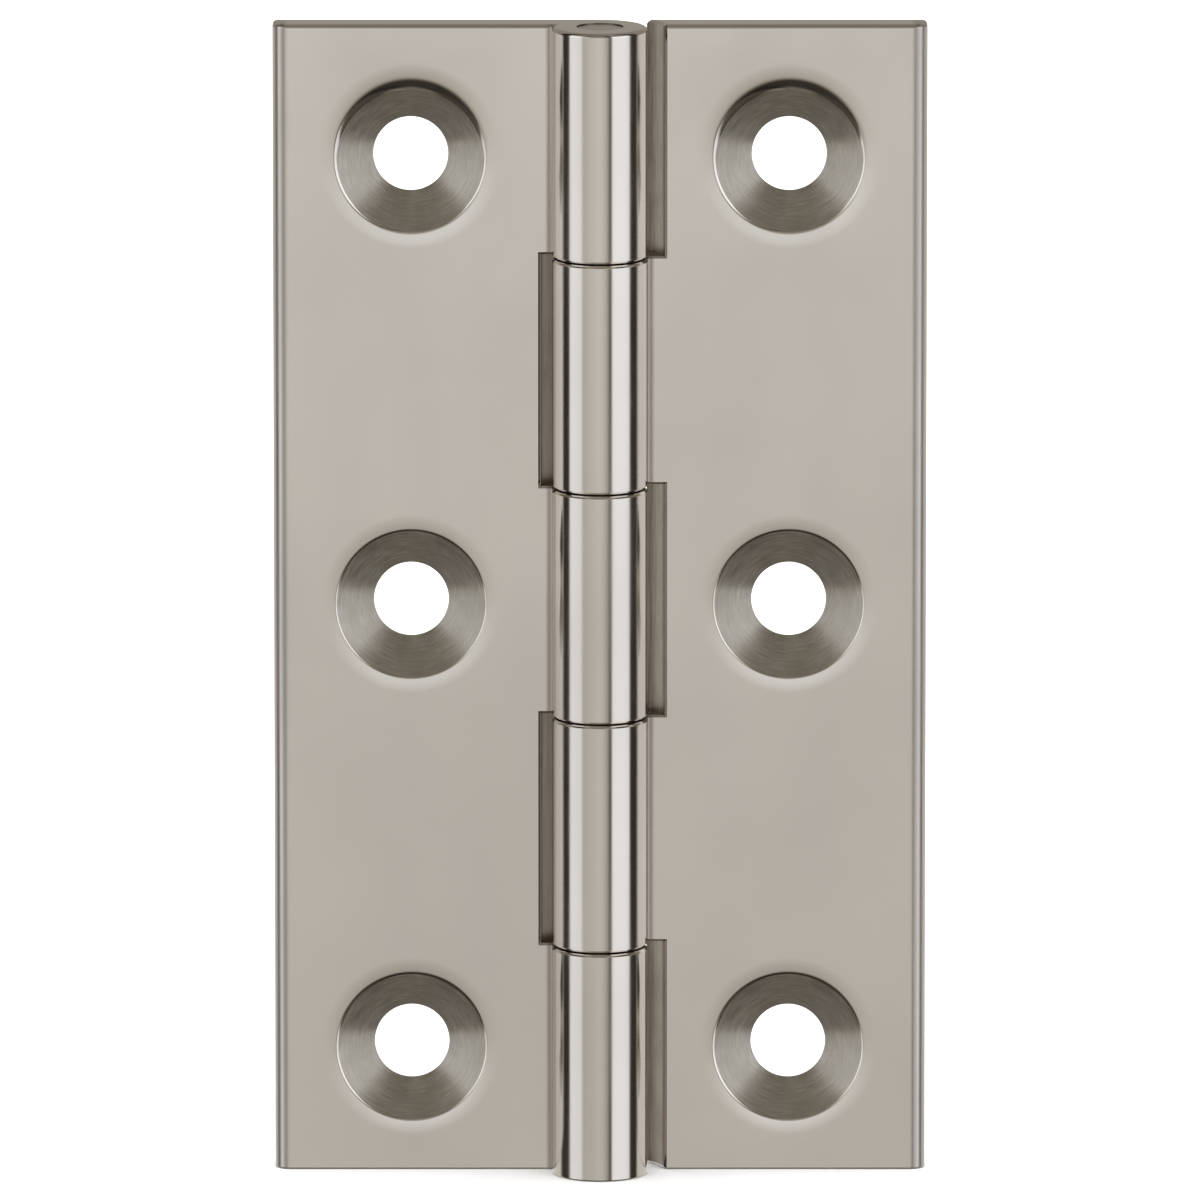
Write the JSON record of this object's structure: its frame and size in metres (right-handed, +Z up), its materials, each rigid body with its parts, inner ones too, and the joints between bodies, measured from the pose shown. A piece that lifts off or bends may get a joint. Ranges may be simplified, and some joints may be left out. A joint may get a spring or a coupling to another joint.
{
  "type": "butt hinge",
  "caption": "Solid-drawn butt hinge, open flat: two nickel-plated brass leaves with countersunk screw holes, interleaved knuckles and a pin.",
  "frame": {"origin": "on the pin's axis, at half its length", "axes": "+Z up along the pin; -Y out of the countersunk faces; +X from the pin towards the door leaf; the hinge lies open flat"},
  "size_m": [0.028, 0.0041, 0.05],
  "materials": {
    "nickel_plate": "polished nickel plate over brass",
    "pin_steel": "ground steel"
  },
  "bodies": {
    "frame_side": {"frame_leaf": "nickel_plate", "hinge_pin": "pin_steel"},
    "door_side": {"door_leaf": "nickel_plate"}
  },
  "joints": [
    {"name": "leaf_swing", "type": "hinge", "parent": "frame_side", "child": "door_side", "pos_m": [0, 0, 0], "axis": [0, 0, -1], "range_deg": [-73, 184]}
  ]
}
